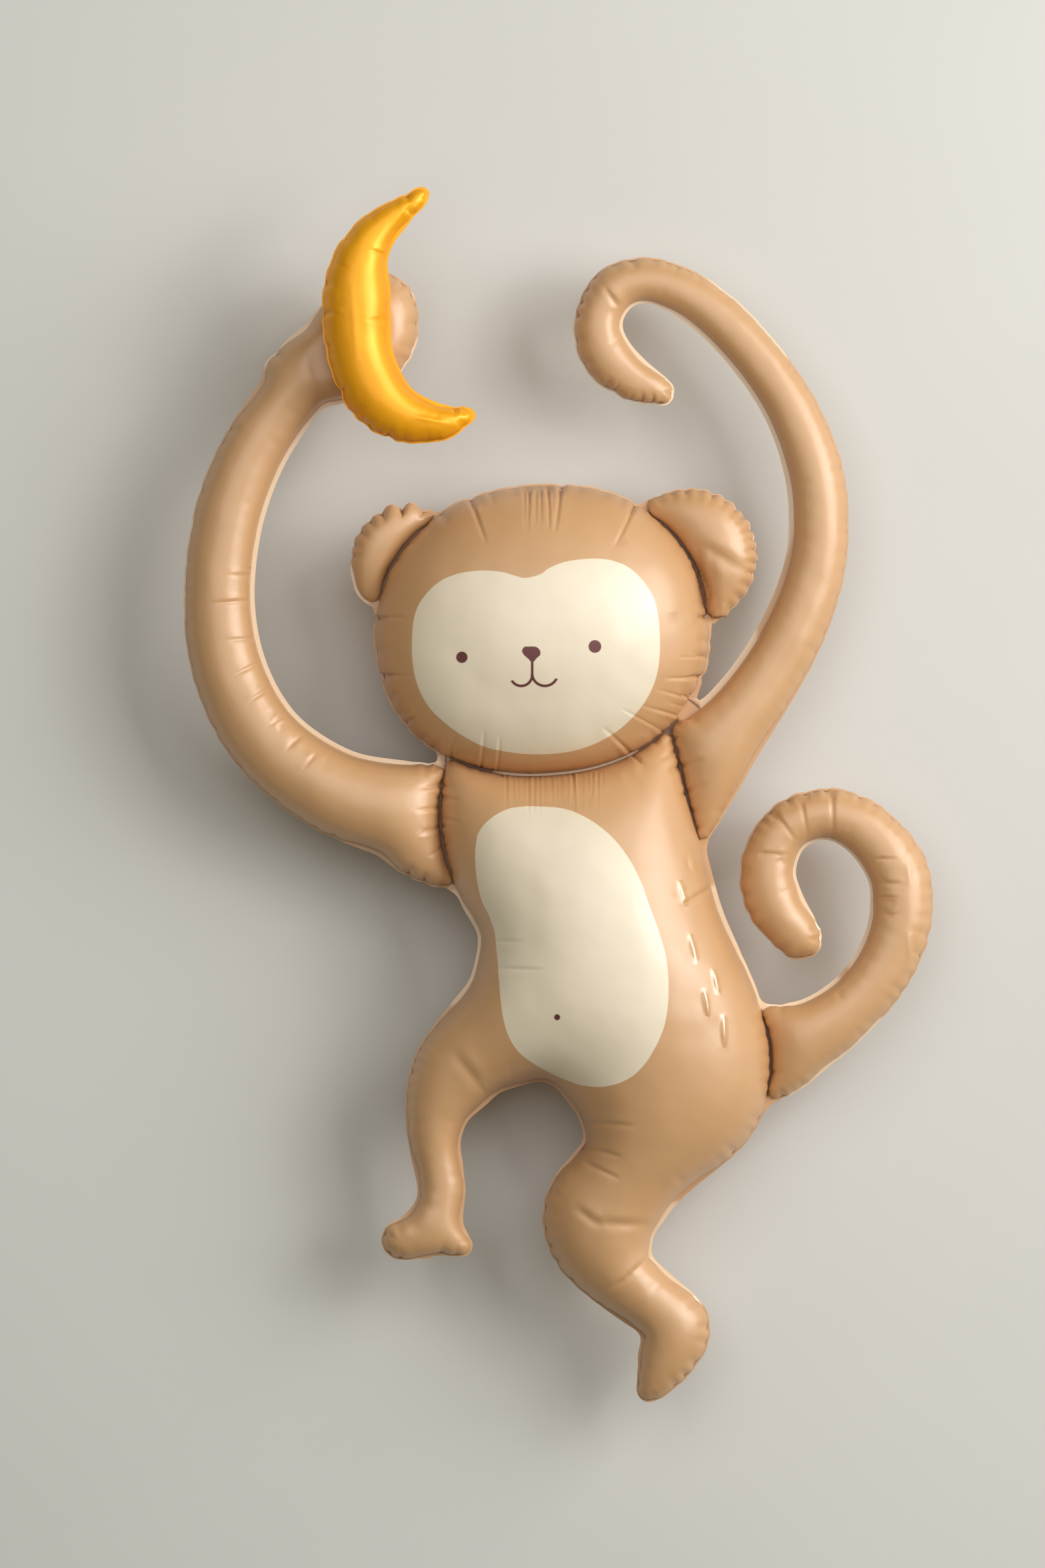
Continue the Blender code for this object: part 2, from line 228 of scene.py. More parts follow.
# rings that run side by side are moved together, to the width of the weld between them
def closeWelds(loops):
    moved = []
    for loop, gap in zip(loops, gapsBetween(loops)):
        shift = (gap - foilMesh["innerWeld"]) / 2 * (1 - softStep(gap, *foilMesh["sideBySide"]))
        moved.append(loop - inwardOf(loop) * np.maximum(evenOut(shift, 4), 0)[:, None])
    return moved


def treeOf(points):
    tree = kdtree.KDTree(len(points))
    for number, (x, y) in enumerate(points):
        tree.insert((x, y, 0), number)
    tree.balance()
    return tree


class Seams:
    # all of a balloon's weld rings, with how far along and how curved each point is
    def __init__(self, loops):
        self.loops = loops
        self.ring = np.concatenate([np.full(len(loop), k) for k, loop in enumerate(loops)])
        self.points = np.vstack(loops)
        self.inward = np.vstack([inwardOf(loop) for loop in loops])
        self.travel = np.concatenate([around(loop)[:-1] for loop in loops])
        self.length = np.array([around(loop)[-1] for loop in loops])
        self.bend = np.concatenate([evenOut(bendOf(loop), 6) for loop in loops])
        self.tree = treeOf(self.points)

    # how far along its ring the point nearest to a place in the photograph lies
    def travelAt(self, ring, pixels):
        mine = np.nonzero(self.ring == ring)[0]
        return self.travel[mine[np.argmin(np.hypot(*(self.points[mine] - toPart(pixels)).T))]]

    def nearest(self, spots):
        found = [self.tree.find((x, y, 0))[1:] for x, y in spots]
        number = np.array([f[0] for f in found])
        return number, np.array([f[1] for f in found])

    # how far each spot is from the nearest weld, or 0 where it isn't on its gas side
    def depthIn(self, spots):
        number, gap = self.nearest(spots)
        side = np.sum((spots - self.points[number]) * self.inward[number], axis=1)
        return gap * (side > 0)


# points beside each drawn crease, so that its valley has enough mesh
def creaseSpots(lines):
    spots = []
    for x0, y0, x1, y1, _, width in lines:
        start, end = toPart([(x0, y0), (x1, y1)], photograph["creaseLift"])
        run = end - start
        length = math.hypot(*run)
        across = np.array([-run[1], run[0]]) / length * width / 1000
        for share in np.linspace(0, 1, max(3, round(length / foilMesh["alongCrease"]) + 1)):
            for off in (0, -0.7, 0.7, -1.5, 1.5, -2.4, 2.4):
                spots.append(start + run * share + across * off)
    return np.array(spots)


class Foil:
    # flat pattern of one balloon: spots, faces, and which faces belong to the rim
    def __init__(self, node, lines):
        self.lines = lines
        self.weld, (outer, inner) = patternLoops(node)
        along, shortest = foilMesh["alongSeam"], foilMesh["shortestRing"]
        self.outer = [smoothLoop(loop, along * 1.15) for loop in outer if around(loop)[-1] > shortest]
        rings = [smoothLoop(loop, along) for loop in inner if around(loop)[-1] > shortest]
        self.seams = Seams(setRims(closeWelds(rings), self.outer))
        self.edge = Seams(self.outer)
        self.spots, self.faces, self.rim = self.triangles()
        self.onRim = np.zeros(len(self.spots), bool)
        self.onRim[self.faces[self.rim].ravel()] = True
        self.onEdge = self.edgeSpots()
        self.film = self.inflate()
        self.near, self.depth = self.seams.nearest(self.spots)
        self.fromEdge = self.edge.nearest(self.spots)[1]
        # free is 1 at a weld on the outline, and web is 1 where two welds part
        self.free = 1 - softStep(self.edge.nearest(self.seams.points)[1], 0.0055, 0.0085)
        self.web = softStep(np.concatenate(gapsBetween(self.seams.loops)), 0.0030, 0.0046)[self.near]

    def triangles(self):
        spots, edges = [], []
        for loop in self.outer + self.seams.loops:
            first, count = len(spots), len(loop)
            spots.extend(loop)
            edges.extend((first + k, first + (k + 1) % count) for k in range(count))
        along, rise = foilMesh["alongSeam"], foilMesh["rowRise"]
        depths = [(rise * k) ** 2 / (2 * foilMesh["limbRadius"]) for k in range(1, 40)]
        depths = [depth for depth in depths if depth < foilMesh["rowsTo"]]
        for depth in depths:
            for loop in self.seams.loops:
                placed = loop + inwardOf(loop) * depth
                gap = self.seams.nearest(placed)[1]
                last = None
                for spot, clear in zip(placed, gap):
                    crowded = last is not None and math.dist(spot, last) < 0.55 * along
                    if clear > 0.93 * depth and not crowded:
                        spots.append(spot)
                        last = spot
        spots, fine = self.withCreases(spots)
        step = foilMesh["inside"]
        deepest = depths[-1] + 0.75 * step
        low, high = self.seams.points.min(axis=0), self.seams.points.max(axis=0)
        grid = []
        for number, y in enumerate(np.arange(low[1], high[1], step * math.sqrt(0.75))):
            for x in np.arange(low[0], high[0], step):
                grid.append((x + (number % 2) * step / 2, y))
        grid = np.array(grid)
        clear = np.array([fine.find((x, y, 0))[2] for x, y in grid]) > 0.5 * step
        spots.extend(grid[(self.seams.depthIn(grid) > deepest) & clear])
        places, _, faces, _, _, _ = delaunay_2d_cdt([Vector(s) for s in spots], edges, [], 0, 1e-7)
        places = np.array([tuple(p) for p in places])
        faces = np.array(faces)
        middles = places[faces].mean(axis=1)
        gas = insideLoops(middles, self.seams.loops)
        whole = insideLoops(middles, self.outer)
        faces, gas = faces[whole], gas[whole]
        return places, faces, ~gas

    # the drawn creases' points take the place of those of the rows that lie too near
    def withCreases(self, spots):
        held = sum(len(loop) for loop in self.outer + self.seams.loops)
        fine = []
        wanted = creaseSpots(self.lines)
        for spot in wanted[self.seams.depthIn(wanted) > foilMesh["creaseFromWeld"]]:
            if not fine or np.hypot(*(np.array(fine) - spot).T).min() > foilMesh["creaseApart"]:
                fine.append(spot)
        tree = treeOf(fine)
        rows = [s for s in spots[held:] if tree.find((s[0], s[1], 0))[2] > foilMesh["rowFromCrease"]]
        return spots[:held] + rows + fine, tree

    # spots on the rim's outer edge, where a side belongs to one triangle only
    def edgeSpots(self):
        sides = np.vstack([self.faces[:, [0, 1]], self.faces[:, [1, 2]], self.faces[:, [2, 0]]])
        pairs, counts = np.unique(np.sort(sides, axis=1), axis=0, return_counts=True)
        edge = np.zeros(len(self.spots), bool)
        edge[pairs[counts == 1].ravel()] = True
        return edge

    # the film equation on the pattern, by conjugate gradients
    def inflate(self):
        gas = self.faces[~self.rim]
        corners = self.spots[gas]
        across = corners[:, [2, 0, 1]] - corners[:, [1, 2, 0]]
        area = 0.5 * np.abs(across[:, 0, 0] * across[:, 1, 1] - across[:, 0, 1] * across[:, 1, 0])
        area = np.maximum(area, 1e-12)
        free = np.zeros(len(self.spots), bool)
        free[gas.ravel()] = True
        free &= ~self.onRim
        load = np.bincount(gas.ravel(), np.repeat(2 * area / 3, 3), len(self.spots)) * free
        pairs, weights = [], []
        for a, b in ((0, 1), (1, 2), (2, 0)):
            pairs.append(gas[:, [a, b]])
            weights.append(-np.sum(across[:, a] * across[:, b], axis=1) / (4 * area))
        pairs, weights = np.vstack(pairs), np.concatenate(weights)
        count = len(self.spots)
        diagonal = np.bincount(pairs.ravel(), np.repeat(weights, 2), count)
        diagonal = np.where(free, np.maximum(diagonal, 1e-9), 1)

        def stiffness(u):
            flow = weights * (u[pairs[:, 0]] - u[pairs[:, 1]])
            return (np.bincount(pairs[:, 0], flow, count) - np.bincount(pairs[:, 1], flow, count)) * free

        film = np.zeros(count)
        rest = load.copy()
        push = rest / diagonal
        drive = push.copy()
        power = rest @ push
        goal = power * 1e-12
        for _ in range(1500):
            answer = stiffness(drive)
            share = power / (drive @ answer)
            film += share * drive
            rest -= share * answer
            push = rest / diagonal
            power, before = rest @ push, power
            if power < goal:
                break
            drive = push + drive * power / before
        return np.maximum(film, 0)


# whether each point lies inside an odd number of rings
def insideLoops(points, loops):
    inside = np.zeros(len(points), bool)
    for loop in loops:
        a, b = loop, np.roll(loop, -1, axis=0)
        low, high = loop.min(axis=0), loop.max(axis=0)
        near = np.nonzero(np.all((points > low) & (points < high), axis=1))[0]
        for part in np.array_split(near, max(1, len(near) // 2000)):
            x, y = points[part, 0][:, None], points[part, 1][:, None]
            crosses = (a[:, 1] > y) != (b[:, 1] > y)
            rise = np.where(b[:, 1] == a[:, 1], 1, b[:, 1] - a[:, 1])
            at = a[:, 0] + (y - a[:, 1]) / rise * (b[:, 0] - a[:, 0])
            inside[part] ^= np.sum(crosses & (x < at), axis=1) % 2 == 1
    return inside


# gathers: the film folds where it is longer than its weld

# how creases fade, in metres from the weld, apart from the first two
fading = {
    "crest": (0.55, 1.0),        # the share of the way up to a limb's crest
    "widening": 0.05,            # a crease's half width grows by this share of its depth
    "aside": 0.022,              # nothing further along the weld is touched
    "pull": (0.002, 0.012),
    "bulge": (0.002, 0.016),
    "lumps": (0, 0.02),
    "neckEnds": 0.02,
}


# one valley between two slight swells, with its own middle at 0 and its half width at 1
def valley(u):
    return np.exp(-np.abs(u) ** 1.5) - 0.3 * np.exp(-(np.abs(u) - 2.1) ** 2)


# the chamber that a weld ring goes round
def chamberIn(loop, chambers):
    return next(c for c in chambers.values() if insideLoops(toPart([c["inside"]]), [loop])[0])


# where the creases of one weld ring start, and how deep, long and slanted each is; an ear has drawn
# notches, and the others have a crease at about every pitch
def drawCreases(foil, ring, chamber, rng):
    seams = foil.seams
    mine = np.nonzero(seams.ring == ring)[0]
    length, pitch = seams.length[ring], chamber.get("pitch", 0)
    stops, creases = [], []
    stop = rng.uniform() * pitch
    while pitch and stop < length - 0.5 * pitch:
        stops.append(stop)
        stop += pitch * (1 + chamber["jitter"] * rng.uniform(-1, 1))
    for x, y, size in chamber.get("notches", ()):
        reach, lean = chamber["reach"] * rng.uniform(0.8, 1.3), rng.normal(0, 0.12)
        creases.append((seams.travelAt(ring, (x, y)), chamber["depth"] * size, reach, chamber["width"],
                        lean, 0, chamber["pull"] * size))
    for stop in stops:
        bend = seams.bend[mine[np.searchsorted(seams.travel[mine], stop) % len(mine)]]
        depth, reach = rng.uniform(0.5, 1.2), rng.uniform(0.6, 1.25)
        lean, width = rng.normal(0, 0.12), rng.uniform(0.8, 1.3)
        if rng.uniform() < chamber["longShare"]:
            reach *= 1.9
        outward = float(np.clip((bend + 3) / 12, 0, 1.3))
        inward = float(np.clip(-bend / 8, 0, 1.2))
        if outward > 0.05:
            creases.append((stop, chamber["depth"] * depth * outward, chamber["reach"] * reach,
                            chamber["width"] * width, lean, 0, chamber["pull"] * depth * outward))
        if inward > 0.25 and rng.uniform() < chamber["buckleShare"]:
            creases.append((stop, chamber["buckleDepth"] * depth * inward, chamber["buckleReach"] * reach,
                            chamber["width"] * width * 0.8, lean, chamber["buckleFrom"], 0))
    return creases


# how far each spot is pushed along the film's normal, and shifted in the plane of the weld
def gather(foil, chambers, rng):
    seams = foil.seams
    push, shift = np.zeros(len(foil.spots)), np.zeros(len(foil.spots))
    height = np.sqrt(foil.film)
    crown = 2 * foil.depth ** 2 / np.maximum(height ** 2 + foil.depth ** 2, 1e-12)   # 1 on a tube's crest
    calm = 1 - softStep(crown, *fading["crest"])
    for ring, loop in enumerate(seams.loops):
        chamber = chamberIn(loop, chambers)
        here = np.nonzero(seams.ring[foil.near] == ring)[0]
        travel, depth = seams.travel[foil.near[here]], foil.depth[here]
        length = seams.length[ring]
        for stop, sink, reach, width, lean, start, pull in drawCreases(foil, ring, chamber, rng):
            along = (travel - stop + length / 2) % length - length / 2
            close = np.abs(along) < fading["aside"]
            at, far = here[close], depth[close]
            across = (along[close] - lean * far) / (width + fading["widening"] * far)
            if start:
                fade = np.sin(np.pi * np.clip((far - start) / reach, 0, 1)) ** 1.2
            else:
                fade = (1 - np.clip(far / reach, 0, 1)) ** 1.4
            push[at] -= sink * valley(across) * fade * calm[at]
            pulled = np.exp(-(along[close] / (2.2 * width)) ** 2)
            shift[at] += pull * pulled * (1 - softStep(far, *fading["pull"]))
        for x, y, out, width in chamber.get("bulges", ()):
            along = (travel - seams.travelAt(ring, (x, y)) + length / 2) % length - length / 2
            pushed = np.exp(-(along / width) ** 2)
            shift[here] -= out * pushed * (1 - softStep(depth, *fading["bulge"]))
    return np.where(foil.onRim, 0, push), shift


# drawn creases and folds, each from one point to another of the photograph; a crease starts at a weld
def fold(places, lines, fromWeld):
    push, notch = np.zeros(len(places)), np.zeros(len(places))
    for x0, y0, x1, y1, sink, width in lines:
        start, end = toPart([(x0, y0), (x1, y1)], photograph["creaseLift"])
        run = end - start
        reach = 3.5 * width / 1000
        low, high = np.minimum(start, end) - reach, np.maximum(start, end) + reach
        near = np.nonzero(np.all((places[:, :2] > low) & (places[:, :2] < high), axis=1))[0]
        flat = places[near, :2] - start
        share = np.clip(flat @ run / (run @ run), -0.3 if fromWeld else 0, 1)
        u = np.hypot(*(flat - share[:, None] * run).T) / (width / 1000)
        side = flat @ np.array([-run[1], run[0]]) > 0
        if fromWeld:
            taper = (1 - np.clip(share, 0, 1)) ** 0.7
            notch[near] += 1.5 * sink / 1000 * np.exp(-(u / 2.2) ** 2) * (share < 0.5)
        else:
            taper = np.sin(np.pi * np.clip(0.12 + 0.76 * share, 0, 1))
        push[near] -= sink / 1000 * taper * (np.exp(-u ** 1.5) - 0.4 * np.exp(-(u - 1.9) ** 2) * (0.4 + side))
    return push, notch


# normals of a triangle mesh at its points
def normalsOf(places, faces):
    a, b, c = (places[faces[:, k]] for k in range(3))
    cross = np.cross(b - a, c - a)
    normals = np.zeros_like(places)
    for k in range(3):
        for axis in range(3):
            normals[:, axis] += np.bincount(faces[:, k], cross[:, axis], len(places))
    return normals / np.maximum(np.linalg.norm(normals, axis=1), 1e-12)[:, None]


def smoothLow(value, limit, blend):
    share = np.clip(0.5 + 0.5 * (limit - value) / blend, 0, 1)
    return limit + (value - limit) * share - blend * share * (1 - share)


# smooth noise over the pattern, with about scale lumps a metre
def lumpsOn(foil, scale, layer):
    return np.array([noise.noise(Vector((x * scale, y * scale, layer))) for x, y in foil.spots])


# the swelling and the wrinkles of one skin; side is 1 for the front and -1 for the back
def skin(foil, look, side):
    swell = np.sqrt(foil.film)
    flatness = np.minimum(swell / swelling["flattestAt"], 1)
    limb, body = swelling["limbFullness"], swelling["bodyFullness"]
    swell = swell * (limb + (body - limb) * flatness)
    places = np.column_stack([foil.spots, swell + swelling["rimThickness"] / 2])
    places[foil.onEdge, 2] = 0
    normals = normalsOf(places, foil.faces)
    rng = np.random.default_rng(look["seed"])
    push, shift = gather(foil, look["chambers"], rng)
    inward = foil.seams.inward[foil.near] * foil.free[foil.near][:, None]
    ruffle = np.where(foil.onRim, foil.depth / foilMesh["modelRim"], 0)
    travel = foil.seams.travel[foil.near]
    wave = np.sin(travel / look["rufflePitch"] * 2 * math.pi + 3 * np.sin(travel / 0.07))
    convex = np.clip(foil.seams.bend[foil.near] / 12, 0, 1.2)
    lumps = lumpsOn(foil, 17, side * 3) + 0.3 * lumpsOn(foil, 55, side * 5)
    deep = softStep(foil.depth, *fading["lumps"])
    push = push * (1 if side > 0 else 0.9) + look["lumps"] * deep * lumps
    creased, notch = fold(places, look["creases"], True)
    shift += notch * (1 - softStep(foil.depth, *fading["pull"]))
    if side > 0:
        push += (fold(places, look["folds"], False)[0] + creased) * ~foil.onRim
    places += normals * push[:, None]
    places[:, :2] += inward * shift[:, None]
    places[:, 2] = foil.weld + side * places[:, 2] + ruffle * convex * wave * look["ruffle"]
    return places


# the look of each spot of the weld, which the finish reads: 0 is like the film, pinched is painted shade for
# the narrow slot between two chambers, and rim and paleRim are tones of the rim
weldTones = {"pinched": 0.3, "rim": 0.6, "paleRim": 1.0, "rimWidth": 0.0068}


def weldTone(foil, look):
    rim, palest = weldTones["rim"], weldTones["paleRim"]
    pale = np.full(len(foil.spots), rim)
    for ring, loop in enumerate(foil.seams.loops):
        mine = foil.seams.ring[foil.near] == ring
        # on the listed stretches the rim is painted paler: partly the weld's own tone, partly painted
        # highlight where the flat rim faces the light
        for x, y, reach in chamberIn(loop, look["chambers"]).get("paleRim", ()):
            away = pixelsFrom(foil.spots, (x, y))
            pale = np.maximum(pale, mine * (palest - (palest - rim) * softStep(away, reach - 14, reach)))
    # inside the outline a weld lies between two chambers, and asks for painted shade where its narrow slot is
    # dark
    pinched = weldTones["pinched"] * (1 - foil.web)
    tone = np.where(foil.fromEdge < weldTones["rimWidth"], pale, pinched)
    if "neckLine" in look:
        (left, top), (right, low) = toPart(look["neckLine"])
        x, y = foil.spots.T
        ends = fading["neckEnds"]
        shown = softStep(x, left, left + ends) * (1 - softStep(x, right - ends, right))
        tone = np.maximum(tone, shown * (y < top) * (y > low))
    return tone * foil.onRim


def addObject(name, data):
    thing = bpy.data.objects.new(name, data)
    bpy.context.scene.collection.objects.link(thing)
    return thing


# one closed piece of both skins, whose heights the two functions press where it touches something
def balloon(name, foil, look, shapeFront, shapeBack):
    front, back = skin(foil, look, 1), skin(foil, look, -1)
    if shapeFront:
        front[:, 2] = shapeFront(front)
    back[:, 2] = shapeBack(back)
    back[foil.onEdge] = front[foil.onEdge]
    bm = bmesh.new()
    # each point's weld tone, which the finish turns into painted shade in the slots between chambers and a
    # paler rim
    weldBand = bm.verts.layers.float.new("weldBand")
    used = np.unique(foil.faces)
    tone = weldTone(foil, look)
    verts = {}
    for spot in used:
        verts[spot] = bm.verts.new(front[spot])
        verts[spot][weldBand] = tone[spot]
    for a, b, c in foil.faces:
        bm.faces.new((verts[a], verts[b], verts[c]))
    copied = bmesh.ops.duplicate(bm, geom=bm.verts[:] + bm.faces[:])
    twin = copied["vert_map"]
    for spot in used:
        twin[verts[spot]].co = back[spot]
    bmesh.ops.reverse_faces(bm, faces=[f for f in copied["geom"] if isinstance(f, bmesh.types.BMFace)])
    bmesh.ops.remove_doubles(bm, verts=bm.verts, dist=1e-7)
    bmesh.ops.recalc_face_normals(bm, faces=bm.faces)
    mesh = bpy.data.meshes.new(name)
    bm.to_mesh(mesh)
    bm.free()
    mesh.shade_smooth()
    mesh.set_sharp_from_angle(angle=math.radians(58))
    piece = addObject(name, mesh)
    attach(piece, "root")
    print(name, len(mesh.polygons), "triangles")
    return piece


# finishes

class Value:
    # a shader socket that can stand in a Python sum
    def __init__(self, finish, socket):
        self.finish, self.socket = finish, socket

    def __add__(self, other): return self.finish.maths("ADD", self, other)
    def __radd__(self, other): return self.finish.maths("ADD", other, self)
    def __sub__(self, other): return self.finish.maths("SUBTRACT", self, other)
    def __rsub__(self, other): return self.finish.maths("SUBTRACT", other, self)
    def __mul__(self, other): return self.finish.maths("MULTIPLY", self, other)
    def __rmul__(self, other): return self.finish.maths("MULTIPLY", other, self)
    def __truediv__(self, other): return self.finish.maths("DIVIDE", self, other)
    def __rtruediv__(self, other): return self.finish.maths("DIVIDE", other, self)
    def __pow__(self, other): return self.finish.maths("POWER", self, other)


class Finish:
    def __init__(self, name):
        self.material = bpy.data.materials.new(name)
        self.material.use_nodes = True
        self.tree = self.material.node_tree
        self.shader = self.tree.nodes["Principled BSDF"]
        self.place = Value(self, self.node("ShaderNodeTexCoord").outputs["Object"])
        apart = self.node("ShaderNodeSeparateXYZ", {}, {0: self.place})
        self.x, self.y, self.z = (Value(self, apart.outputs[k]) for k in range(3))

    # any node: its settings first, then what goes into its sockets
    def node(self, kind, settings=None, inputs=None):
        node = self.tree.nodes.new(kind)
        for name, value in (settings or {}).items():
            if name == "points":
                curve = node.mapping.curves[0]
                for point in value[1:-1]:
                    curve.points.new(*point)
                curve.points[0].location, curve.points[-1].location = value[0], value[-1]
                node.mapping.update()
            else:
                setattr(node, name, value)
        for name, value in (inputs or {}).items():
            self.put(node.inputs[name], value)
        return node

    def put(self, socket, value):
        if isinstance(value, Value):
            self.tree.links.new(value.socket, socket)
        else:
            socket.default_value = value

    def maths(self, operation, a, b=0.0):
        node = self.node("ShaderNodeMath", {"operation": operation}, {0: a, 1: b})
        return Value(self, node.outputs[0])

    def step(self, value, low, high):
        node = self.node("ShaderNodeMapRange", {"interpolation_type": "SMOOTHSTEP"},
                         {"Value": value, "From Min": low, "From Max": high})
        return Value(self, node.outputs[0])

    def noise(self, scale, detail):
        node = self.node("ShaderNodeTexNoise", {}, {"Vector": self.place, "Scale": scale, "Detail": detail})
        return Value(self, node.outputs["Fac"])

    # one colour over another, where the mask is 1
    def blend(self, mask, under, over):
        node = self.node("ShaderNodeMix", {"data_type": "RGBA"}, {0: mask, 6: under, 7: over})
        return Value(self, node.outputs[2])

    def attribute(self, name):
        return Value(self, self.node("ShaderNodeAttribute", {"attribute_name": name}).outputs["Fac"])

    def distance(self, centre):
        return self.maths("SQRT", (self.x - centre[0]) ** 2 + (self.y - centre[1]) ** 2)

    # inside a drawn outline that goes once round its centre
    def patch(self, centre, outline, soft):
        centre = np.array(centre)
        arms = [Vector(point - centre) for point in outline]
        widest = max(arm.length for arm in arms) * 1.05
        turns = sorted((math.atan2(arm.y, arm.x) / math.tau + 0.5, arm.length / widest) for arm in arms)
        first, last = turns[0], turns[-1]
        share = (1 - last[0]) / (first[0] + 1 - last[0])
        seam = last[1] + (first[1] - last[1]) * share
        points = [(0, seam), *turns, (1, seam)]
        angle = self.maths("ARCTAN2", self.y - float(centre[1]), self.x - float(centre[0])) / math.tau + 0.5
        curve = self.node("ShaderNodeFloatCurve", {"points": points}, {"Value": angle})
        reach = Value(self, curve.outputs[0]) * widest
        return self.step(reach - self.distance(centre), -soft, soft)

    def dot(self, centre, radius, soft):
        return self.step(radius - self.distance(centre), -soft, soft)

    # a drawn arc through three points, under half a turn
    def arc(self, start, middle, end, width, soft):
        (ax, ay), (bx, by), (cx, cy) = start, middle, end
        scale = 2 * (ax * (by - cy) + bx * (cy - ay) + cx * (ay - by))
        a, b, c = ax ** 2 + ay ** 2, bx ** 2 + by ** 2, cx ** 2 + cy ** 2
        ox = (a * (by - cy) + b * (cy - ay) + c * (ay - by)) / scale
        oy = (a * (cx - bx) + b * (ax - cx) + c * (bx - ax)) / scale
        radius = math.hypot(ax - ox, ay - oy)
        line = self.maths("ABSOLUTE", self.distance((ox, oy)) - radius)
        normal = Vector((ay - cy, cx - ax)).normalized()
        if normal.dot(Vector((bx - ax, by - ay))) < 0:
            normal = -normal
        beyond = (self.x - ax) * normal.x + (self.y - ay) * normal.y
        return self.step(width / 2 - line, -soft, soft) * self.step(beyond, -soft, soft)

    # a straight stroke with round ends
    def stroke(self, start, end, width, soft):
        run = Vector(end) - Vector(start)
        along = ((self.x - start[0]) * run.x + (self.y - start[1]) * run.y) / run.length_squared
        along = self.maths("MINIMUM", self.maths("MAXIMUM", along, 0.0), 1.0)
        dx, dy = self.x - start[0] - along * run.x, self.y - start[1] - along * run.y
        off = self.maths("SQRT", dx ** 2 + dy ** 2)
        return self.step(width / 2 - off, -soft, soft)

    def into(self, name, value):
        self.put(self.shader.inputs[name], value)

    def bump(self, height, strength, distance):
        node = self.node("ShaderNodeBump", {}, {"Height": height, "Strength": strength, "Distance": distance})
        self.into("Normal", Value(self, node.outputs[0]))


def colour(code):
    parts = [int(code[k:k + 2], 16) / 255 for k in (1, 3, 5)]
    return (*[c / 12.92 if c <= 0.04045 else ((c + 0.055) / 1.055) ** 2.4 for c in parts], 1)


# the monkey

armChamber = {"pitch": 0.0145, "jitter": 0.45, "depth": 0.0011, "reach": 0.010, "width": 0.0019,
              "longShare": 0.1, "buckleDepth": 0.0006, "buckleFrom": 0.003}

# raised creases of the torso, which are polished too, and so catch the light
glints = [
    (1029, 1356, 1021, 1324, -1.2, 2.0), (1044, 1441, 1036, 1405, -1.3, 2.0),
    (1077, 1488, 1070, 1457, -1.2, 1.8), (1062, 1522, 1056, 1486, -1.3, 1.9),
    (1087, 1568, 1085, 1525, -1.3, 1.9),
]

